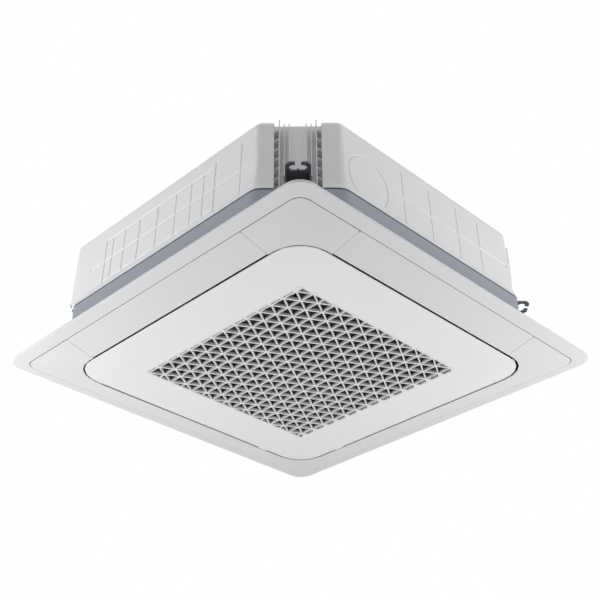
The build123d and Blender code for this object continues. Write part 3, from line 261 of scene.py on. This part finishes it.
# %% Tone drift
def make_group(name, inputs, output, kind):
    """A shader group with inputs of a label, kind and default, and one output. Returns the group,
    the inputs' sockets and the output's socket."""
    group = bpy.data.node_groups.new(name, "ShaderNodeTree")
    new_socket = group.interface.new_socket
    for label, input_kind, default in inputs:
        socket = new_socket(label, in_out="INPUT", socket_type=f"NodeSocket{input_kind}")
        socket.default_value = default
    new_socket(output, in_out="OUTPUT", socket_type=f"NodeSocket{kind}")
    start, end = group.nodes.new("NodeGroupInput"), group.nodes.new("NodeGroupOutput")
    return group, start.outputs, end.inputs[output]


def noise(group, vector, scale, detail, roughness=0.5):
    """Cloudy noise between 0 and 1."""
    return add_node(group, "TexNoise", Vector=vector, Scale=scale, Detail=detail,
                    Roughness=roughness).outputs["Fac"]


def tone_drift_group():
    """A colour made slightly lighter and darker by a broad cloud of noise: colour times one plus
    amount times the cloud, where the cloud runs from minus a half to a half."""
    inputs = [("Color", "Color", (0.8, 0.8, 0.8, 1)), ("Scale", "Float", 6.0),
              ("Amount", "Float", 0.06)]
    group, start, end = make_group("tone_drift", inputs, "Color", "Color")
    place = add_node(group, "TexCoord").outputs["Object"]
    cloud = calculate(group, "SUBTRACT", noise(group, place, start["Scale"], 3.0, 0.55), 0.5)
    factor = calculate(group, "MULTIPLY_ADD", cloud, start["Amount"], 1.0)
    tinted = add_node(group, "VectorMath", start["Color"], operation="SCALE", Scale=factor)
    feed(group, end, tinted.outputs[0])
    return group


tone_drift = tone_drift_group()
print(tone_drift.name, "nodes:", len(tone_drift.nodes))

# %% [markdown]
# ## Grain of a moulding
# The polished steel mould leaves a fine grain on plastic. One noise alone looks like sand, so a
# share of a coarser noise is added to it.

# %% Mould grain
coarse_scale = 0.08  # the coarser noise's scale, as a share of the finer one's


def mould_grain_group():
    """A height from two sizes of grain: fine noise plus a share of a coarser, softer noise."""
    inputs = [("Scale", "Float", 900.0), ("Coarse", "Float", 0.3)]
    group, start, end = make_group("mould_grain", inputs, "Height", "Float")
    place = add_node(group, "TexCoord").outputs["Object"]
    fine = noise(group, place, start["Scale"], 2.0)
    coarse = noise(group, place, calculate(group, "MULTIPLY", start["Scale"], coarse_scale), 1.0)
    feed(group, end, calculate(group, "MULTIPLY_ADD", coarse, start["Coarse"], fine))
    return group


mould_grain = mould_grain_group()
print(mould_grain.name, "nodes:", len(mould_grain.nodes))

# %% [markdown]
# ## Streaks of rolled steel
# Rolled sheet has long faint streaks along the way it went through the rollers. Noise turns into
# streaks when its coordinates are squeezed along one axis and left alone along the others.

# %% Rolled streaks
def rolled_streaks_group():
    """A height of streaks: noise at the place times the stretch, axis by axis."""
    inputs = [("Scale", "Float", 60.0), ("Stretch", "Vector", (0.04, 1.0, 1.0))]
    group, start, end = make_group("rolled_streaks", inputs, "Height", "Float")
    place = add_node(group, "TexCoord").outputs["Object"]
    squeezed = add_node(group, "VectorMath", place, start["Stretch"], operation="MULTIPLY")
    feed(group, end, noise(group, squeezed.outputs[0], start["Scale"], 4.0, 0.6))
    return group


rolled_streaks = rolled_streaks_group()
print(rolled_streaks.name, "nodes:", len(rolled_streaks.nodes))

# %% [markdown]
# ## Settled dust
# A casing above a ceiling gathers a thin veil of dust, and only on the faces that look up.

# %% Settled dust
dust_slope = 0.6  # the upward part of the normal at which dust begins to lie


def settled_dust_group():
    """A mask of dust: the normal's upward part, counted from the slope at which dust lies, times
    noise, times the amount."""
    inputs = [("Amount", "Float", 0.3), ("Scale", "Float", 40.0)]
    group, start, end = make_group("settled_dust", inputs, "Mask", "Float")
    where = add_node(group, "TexCoord").outputs
    upward = add_node(group, "SeparateXYZ", where["Normal"]).outputs["Z"]
    level = add_node(group, "MapRange", Value=upward, From_Min=dust_slope).outputs["Result"]
    cloud = noise(group, where["Object"], start["Scale"], 5.0, 0.65)
    broken = calculate(group, "MULTIPLY", level, cloud)
    feed(group, end, calculate(group, "MULTIPLY", broken, start["Amount"]))
    return group


settled_dust = settled_dust_group()
print(settled_dust.name, "nodes:", len(settled_dust.nodes))

# %% [markdown]
# ## A mask inside a border
# Three more groups say where a second colour lies on a piece. Each works in real metres on the
# piece, where a painted mask would blur at such fine edges. The first is a square with round
# corners, seen from below: the panel frame's painted shade lies inside such a line, and the foam
# pan's painted shade lies outside one.

# %% Border mask
def inside_border_group():
    """A mask that is 1 inside a square with round corners: the distance past the centres of the
    corner arcs, taken along both sides together, is less than the arcs' radius."""
    inputs = [("Centre", "Vector", (0, 0, 0)), ("Radius", "Float", 0.0)]
    group, start, end = make_group("inside_border", inputs, "Mask", "Float")
    place = add_node(group, "TexCoord").outputs["Object"]
    folded = add_node(group, "VectorMath", place, operation="ABSOLUTE").outputs[0]
    past = add_node(group, "VectorMath", folded, start["Centre"], operation="SUBTRACT").outputs[0]
    kept = add_node(group, "VectorMath", past, (0, 0, 0), operation="MAXIMUM").outputs[0]
    length = add_node(group, "VectorMath", kept, operation="LENGTH").outputs["Value"]
    feed(group, end, calculate(group, "LESS_THAN", length, start["Radius"]))
    return group


inside_border = inside_border_group()
print(inside_border.name, "nodes:", len(inside_border.nodes))

# %% [markdown]
# ## A mask that rises with height
# Walls that go up into the machine are painted darker the further they are from the room, as
# painted shade: the sides of the lattice's cells and the rim of the intake grille. At the top of
# the steel band, under the casing's foot, the same mask paints a thin shadow line. Light that
# bounces between them would do some of this by itself, but a mask says exactly where the dark
# begins.

# %% Depth mask
def depth_shade_group():
    """A mask that rises with height above a level: 0 at the level, 1 one depth higher, and only
    where the place lies past a reach from the middle along either side."""
    inputs = [("Level", "Float", 0.0), ("Depth", "Float", 1.0), ("Reach", "Float", -1.0)]
    group, start, end = make_group("depth_shade", inputs, "Mask", "Float")
    place = add_node(group, "TexCoord").outputs["Object"]
    parts = add_node(group, "SeparateXYZ", place).outputs
    above = calculate(group, "SUBTRACT", parts["Z"], start["Level"])
    share = add_node(group, "Math", above, start["Depth"], operation="DIVIDE")
    share.use_clamp = True
    folded = [calculate(group, "ABSOLUTE", parts[axis]) for axis in "XY"]
    past = calculate(group, "GREATER_THAN", calculate(group, "MAXIMUM", *folded), start["Reach"])
    feed(group, end, calculate(group, "MULTIPLY", share.outputs[0], past))
    return group


depth_shade = depth_shade_group()
print(depth_shade.name, "nodes:", len(depth_shade.nodes))

# %% [markdown]
# ## The filter's net
# The air filter is a net of fine plastic threads, under three millimetres apart. Threads made as a
# mesh would be tens of thousands of faces for a tone that the camera hardly resolves, so a pattern
# of lines along X and Y stands for them.

# %% Net mask
def woven_net_group():
    """A mask of fine square threads: 1 where the distance to the nearest line, along either side,
    is under half a thread. The position over the pitch is folded into a saw between 0 and a
    half."""
    inputs = [("Pitch", "Float", 0.0028), ("Thread", "Float", 0.32)]
    group, start, end = make_group("woven_net", inputs, "Mask", "Float")
    place = add_node(group, "TexCoord").outputs["Object"]
    parts = add_node(group, "SeparateXYZ", place).outputs
    half_thread = calculate(group, "MULTIPLY", start["Thread"], 0.5)
    lines = []
    for axis in "XY":
        counted = calculate(group, "DIVIDE", parts[axis], start["Pitch"])
        saw = calculate(group, "PINGPONG", counted, 0.5)
        lines.append(calculate(group, "LESS_THAN", saw, half_thread))
    feed(group, end, calculate(group, "MAXIMUM", *lines))
    return group


woven_net = woven_net_group()
print("groups:", [group.name for group in bpy.data.node_groups])

# %% [markdown]
# ## Finishes
# Every finish is one Principled shader. Its base colour passes through the tone drift, its
# roughness is lifted or lowered by the same height that makes its bump, and that height comes from
# the grain or the streaks. The distance of a bump is a real height in metres, so the same finish
# looks right on a large casing and on a screw.

# %% Finish maker
coat_roughness = 0.12
rough_spread = 0.08
least_roughness = 0.03
coarse_grain = 0.4
dust_tone = (0.62, 0.61, 0.59, 1)
dust_scale = 35.0


def place_group(tree, group, **values):
    """A group placed in a material with its own values. Returns its output."""
    node = tree.nodes.new("ShaderNodeGroup")
    node.node_tree = group
    for label, value in values.items():
        node.inputs[label].default_value = value
    return node.outputs[0]


def mix_colours(tree, share, first, second):
    """A mix of two colours: all the first where the share is 0, all the second where it is 1."""
    mix = tree.nodes.new("ShaderNodeMix")
    mix.data_type = "RGBA"
    for label, source in {"Factor": share, "A": first, "B": second}.items():
        feed(tree, mix.inputs[label], source)
    return mix.outputs["Result"]


def make_finish(name, color, roughness, drift=0.05, drift_scale=5.0, relief="grain",
                relief_scale=900.0, relief_height=0.02, metallic=0.0, coat=0.0, dust=0.0,
                stretch=(0.04, 1, 1)):
    """A finish from its colour, roughness and relief. With the height of the relief, roughness runs
    from the set value less the spread to the set value plus the spread. Dust mixes a pale grey over
    the colour where its mask is high. The relief's height is in millimetres."""
    material = bpy.data.materials.new(name)
    material.use_nodes = True
    tree = material.node_tree
    shader = tree.nodes["Principled BSDF"]
    shader.inputs["Metallic"].default_value = metallic
    shader.inputs["Coat Weight"].default_value = coat
    shader.inputs["Coat Roughness"].default_value = coat_roughness
    tone = place_group(tree, tone_drift, Color=(*color, 1), Scale=drift_scale, Amount=drift)
    if dust:
        mask = place_group(tree, settled_dust, Amount=dust, Scale=dust_scale)
        tone = mix_colours(tree, mask, tone, dust_tone)
    if relief == "grain":
        height = place_group(tree, mould_grain, Scale=relief_scale, Coarse=coarse_grain)
    else:
        height = place_group(tree, rolled_streaks, Scale=relief_scale, Stretch=stretch)
    spread = add_node(tree, "MapRange", Value=height,
                      To_Min=max(roughness - rough_spread, least_roughness),
                      To_Max=min(roughness + rough_spread, 1.0))
    bump = add_node(tree, "Bump", Height=height, Strength=1.0, Distance=relief_height * mm)
    feed(tree, shader.inputs["Base Color"], tone)
    feed(tree, shader.inputs["Roughness"], spread.outputs["Result"])
    feed(tree, shader.inputs["Normal"], bump.outputs["Normal"])
    return material


print("roughness varies by", rough_spread, "either way, and is never under", least_roughness)

# %% [markdown]
# ## The machine's materials
# Sixteen finishes cover the machine: white plastic and foam, painted and zinc-coated sheet, the
# coil's aluminium fins with copper pipes and brass nuts, and dark plastic, foam and rubber inside.
# They stand in one table, where their colours are easy to compare. Colours are linear values, so
# 0.8 looks nearly white and 0.3 a middle grey.

# %% The finishes themselves
panel_white = (0.80, 0.80, 0.805)
band_blue_grey = (0.335, 0.36, 0.405)
foam_cream = (0.74, 0.74, 0.73)
painted_sheet = dict(relief="streaks", relief_scale=90.0, relief_height=0.02, metallic=0.15)
finish_values = {
    "panel_plastic": dict(color=panel_white, roughness=0.36, drift=0.03, relief_height=0.012),
    "casing_white": dict(color=(0.92, 0.92, 0.925), roughness=0.5, drift=0.06, drift_scale=9.0,
                         relief_scale=420.0, relief_height=0.05, dust=0.12),
    "band_steel": dict(color=band_blue_grey, roughness=0.42, **painted_sheet),
    "bracket_steel": dict(color=(0.15, 0.155, 0.165), roughness=0.42, relief="streaks",
                          relief_scale=160.0, relief_height=0.02, metallic=0.35),
    "zinc_steel": dict(color=(0.55, 0.56, 0.58), roughness=0.34, drift=0.12, drift_scale=60.0,
                       relief="streaks", relief_scale=220.0, relief_height=0.01, metallic=0.9),
    "foam_dark": dict(color=(0.045, 0.047, 0.05), roughness=0.92, relief_scale=700.0,
                      relief_height=0.12),
    "foam_white": dict(color=foam_cream, roughness=0.8, relief_scale=260.0, relief_height=0.15),
    "grey_plastic": dict(color=(0.10, 0.108, 0.115), roughness=0.5, relief_height=0.02),
    "filter_net": dict(color=(0.035, 0.038, 0.042), roughness=0.7, relief_scale=1500.0,
                       relief_height=0.03),
    "coil_fins": dict(color=(0.62, 0.64, 0.66), roughness=0.38, relief="streaks",
                      relief_scale=900.0, relief_height=0.2, metallic=0.9, stretch=(1, 1, 0.01)),
    "copper": dict(color=(0.62, 0.29, 0.17), roughness=0.3, drift=0.2, drift_scale=50.0,
                   relief="streaks", relief_scale=200.0, relief_height=0.01, metallic=1.0),
    "nut_brass": dict(color=(0.66, 0.48, 0.20), roughness=0.3, drift=0.15, drift_scale=60.0,
                      relief="streaks", relief_scale=260.0, relief_height=0.01, metallic=1.0),
    "hose_grey": dict(color=(0.30, 0.31, 0.32), roughness=0.6, relief_height=0.03),
    "board_green": dict(color=(0.025, 0.12, 0.06), roughness=0.4, relief_scale=500.0,
                        relief_height=0.02, coat=0.4),
    "motor_paint": dict(color=(0.055, 0.058, 0.063), roughness=0.38, relief_scale=600.0,
                        relief_height=0.03, coat=0.2),
    "black_rubber": dict(color=(0.018, 0.018, 0.019), roughness=0.7, relief_height=0.03),
}
finishes = {name: make_finish(name, **values) for name, values in finish_values.items()}
print("finishes:", len(finishes))

# %% [markdown]
# ## Painted shade in the air ways
# From the room, the gap between the blades and the intake grille is black with shade, and here that
# shade is painted: the panel's frame is painted black inside the border line, and the foam pan is
# painted black round its outlets. Both keep their own finish elsewhere, so each is the same finish
# with a mask laid over it. The filter's net gets its threads the same way, as a pattern in real
# millimetres, and its openings are painted near-black for the shade behind them. The mask that
# rises with height paints shade on the outer side of the grille's turned-up rim and on the walls of
# the lattice, which stay bright only along their front edge, and paints a thin shadow line along
# the top of the steel band.

# %% Painted shade, the net and a shadow line
# painted shade: black for the air ways that lie in shade behind the gap round the blades
painted_shade_black = (0.006, 0.006, 0.007)
# painted shade: near-black in the net's openings, where the inside of the machine lies in shade
net_opening_shade = (0.004, 0.004, 0.005)
thread_grey = (0.05, 0.052, 0.055)
# painted shadow line where the casing's foot overhangs the steel band
shadow_line_grey = (0.05, 0.053, 0.06)
# painted shade on the walls of the lattice's cells, darker with depth
wall_shade_grey = (0.34, 0.342, 0.345)
any_height = 10.0  # a centre so high up that the place's own height never counts
own_finishes = {
    "panel_frame": make_finish("panel_frame_plastic", panel_white, 0.4, drift=0.03,
                               relief_height=0.012),
    "drain_pan": make_finish("pan_foam", foam_cream, 0.85, relief_scale=260.0, relief_height=0.15),
    "filter_mesh": make_finish("net_threads", net_opening_shade, 0.8, relief_height=0.02),
    "intake_grille_frame": make_finish("intake_plastic", (0.92, 0.92, 0.922), 0.34, drift=0.02,
                                       relief_height=0.01),
    "lower_casing": make_finish("band_steel_with_shadow_line", band_blue_grey, 0.42, **painted_sheet),
    "grille_lattice": make_finish("lattice_plastic", (0.88, 0.88, 0.88), 0.4, drift=0.02,
                                  relief_height=0.01),
}
masks = {  # centres, radii, levels, depths and reaches are in metres
    # painted shade inside the panel frame's border line
    "panel_frame": dict(group=inside_border, color=painted_shade_black,
                        Centre=(0.4182, 0.4182, any_height), Radius=0.0257),
    # painted shade on the foam pan round its outlets
    "drain_pan": dict(group=inside_border, color=painted_shade_black, inverted=True,
                      Centre=(0.19, 0.19, any_height), Radius=0.155),
    # grey threads over painted shade in the openings
    "filter_mesh": dict(group=woven_net, color=thread_grey),
    # painted shade on the outer side of the grille's turned-up rim
    "intake_grille_frame": dict(group=depth_shade, color=painted_shade_black, Level=-0.0268, Depth=0.0004,
                                Reach=0.3645),
    # painted shadow line along the top of the steel band
    "lower_casing": dict(group=depth_shade, color=shadow_line_grey, Level=0.0952, Depth=0.0012),
    # painted shade on the lattice's walls, darker the higher they go
    "grille_lattice": dict(group=depth_shade, color=wall_shade_grey, Level=-0.0302, Depth=0.0066),
}


def masked_colour(material, group, color, inverted=False, **values):
    """Lays a second colour over a finish where a group's mask is 1, or if inverted, where it is
    0."""
    tree = material.node_tree
    base = tree.nodes["Principled BSDF"].inputs["Base Color"]
    pair = [base.links[0].from_socket, (*color, 1)]
    if inverted:
        pair.reverse()
    feed(tree, base, mix_colours(tree, place_group(tree, group, **values), *pair))


for node, values in masks.items():
    masked_colour(own_finishes[node], **values)
finish_of = {node: own_finishes.get(node, finishes[slot]) for node, slot in slot_of.items()}
for node, piece in nodes.items():
    piece.data.materials.clear()
    piece.data.materials.append(finish_of[node])
print("own finishes:", sorted(own_finishes))

# %% [markdown]
# ## Rounded edges
# A real moulding has no knife edges: the tool's corners are eased by half a millimetre or so, and
# folded sheet has a bend radius. The construction's parts have exact sharp edges and are stored as
# loose triangles. A copy of such a mesh is merged and its sharp edges get a small bevel, so that
# each edge catches a thin line of light. Its flat areas stay triangles, because one large face in
# their place would close the opening of a plate. Normals are weighted by area, which keeps the flat
# areas flat.

# %% Rounded mouldings and folded sheet
sides = ("left", "right", "far_right", "far_left")
corners = ("near", "right", "far", "left")
edge_width = {  # in millimetres
    "panel_frame": 0.8, "intake_grille_frame": 1.0, "upper_casing": 0.6, "lower_casing": 0.6,
    **{f"louver_blade_{side}": 0.6 for side in sides},
    **{f"corner_cap_{corner}": 0.6 for corner in corners},
    **{f"hanger_bracket_{corner}": 0.7 for corner in corners},
}
edge_segments = 2
sharp_angle = math.radians(33)
same_point = 2e-6  # corners this close together, in metres, are one
largest_weight = 100  # the largest face at a corner sets its normal


def add_piece(name, mesh, body, slot, *replaced):
    """Puts a finished mesh into the scene at the origin, on its body. It takes the finish of the
    part that it replaces, or else the finish of its slot.
    """
    piece = bpy.data.objects.new(name, mesh)
    bpy.context.scene.collection.objects.link(piece)
    mesh.materials.append(finish_of[replaced[0]] if replaced else finishes[slot])
    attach(piece, body)
    if replaced:
        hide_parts(*replaced)
    return piece


def rounded_copy(node, width):
    """The node's own form with every sharp edge rounded to a width in millimetres."""
    form = bmesh.new()
    form.from_mesh(nodes[node].data)
    bmesh.ops.remove_doubles(form, verts=form.verts, dist=same_point)
    mesh = bpy.data.meshes.new(f"{node}_rounded")
    form.to_mesh(mesh)
    form.free()
    mesh.shade_smooth()
    carrier = bpy.data.objects.new("carrier", mesh)
    bpy.context.scene.collection.objects.link(carrier)
    bevel = carrier.modifiers.new("rounding", "BEVEL")
    bevel.width = width * mm
    bevel.segments = edge_segments
    bevel.limit_method = "ANGLE"
    bevel.angle_limit = sharp_angle
    bevel.use_clamp_overlap = False
    bevel.miter_outer = "MITER_ARC"
    even = carrier.modifiers.new("even_faces", "WEIGHTED_NORMAL")
    even.weight = largest_weight
    graph = bpy.context.evaluated_depsgraph_get()
    finished = bpy.data.meshes.new_from_object(carrier.evaluated_get(graph))
    bpy.data.objects.remove(carrier)
    finished.materials.clear()
    return add_piece(f"{node}_finished", finished, body_of[node], slot_of[node], node)


for node, width in edge_width.items():
    piece = rounded_copy(node, width)
    print(node, len(piece.data.polygons), "faces")

# %% [markdown]
# ## Threads of the two unions
# The pipe stubs end in a screw thread that a flare nut draws up on. A thread is one profile that
# travels along the pipe as it goes round it. It could be a screw modifier on a drawn profile, but a
# grid is exact and needs no clean-up: one parameter goes round, the other goes along, and the
# radius is a zigzag of how far along the place is minus its share of a turn. Both ends sink into
# the pipe, so that the sleeve needs no lids.

# %% Union threads
thread_around = 40
rows_per_turn = 6
thread_pitch = 1.8  # this and all the lengths below are in millimetres
thread_height = 0.55
thread_start = 447.2
thread_end = 460.8
thread_lift = 0.03
thread_sink = 0.3
unions = {  # name: the pipe's y and z, and its radius
    "gas_union_thread": (227.0, 148.0, 11.1),
    "liquid_union_thread": (206.0, 178.0, 7.9),
}


def thread_sleeve(name, y, z, radius):
    """Radius is the pipe's plus the lift plus the height times a zigzag from 0 to 1 of (x / pitch -
    angle / turn); the first and last rows lie a little under the pipe's surface."""
    rows = int((thread_end - thread_start) / thread_pitch * rows_per_turn) + 1
    share, turn = np.meshgrid(np.linspace(0, 1, rows), np.arange(thread_around) / thread_around,
                              indexing="ij")
    x = thread_start + share * (thread_end - thread_start)
    phase = (x / thread_pitch - turn) % 1
    reach = radius + thread_lift + thread_height * (1 - np.abs(2 * phase - 1))
    reach[[0, -1]] = radius - thread_sink
    angle = 2 * math.pi * turn
    points = np.stack([x, y + reach * np.cos(angle), z + reach * np.sin(angle)], axis=-1)
    row, step = np.meshgrid(np.arange(rows - 1), np.arange(thread_around), indexing="ij")
    here, there = row * thread_around, (row + 1) * thread_around
    after = (step + 1) % thread_around
    faces = np.stack([here + step, here + after, there + after, there + step], axis=-1)
    mesh = bpy.data.meshes.new(name)
    mesh.from_pydata((points.reshape(-1, 3) * mm).tolist(), [], faces.reshape(-1, 4).tolist())
    return add_piece(name, mesh, body_of["gas_pipe"], slot_of["flare_nuts"])


for name, (y, z, radius) in unions.items():
    piece = thread_sleeve(name, y, z, radius)
    out = sum(face.normal.y * (face.center.y - y * mm) + face.normal.z * (face.center.z - z * mm)
              for face in piece.data.polygons)
    print(name, len(piece.data.polygons), "faces, pointing", "outwards" if out > 0 else "inwards")
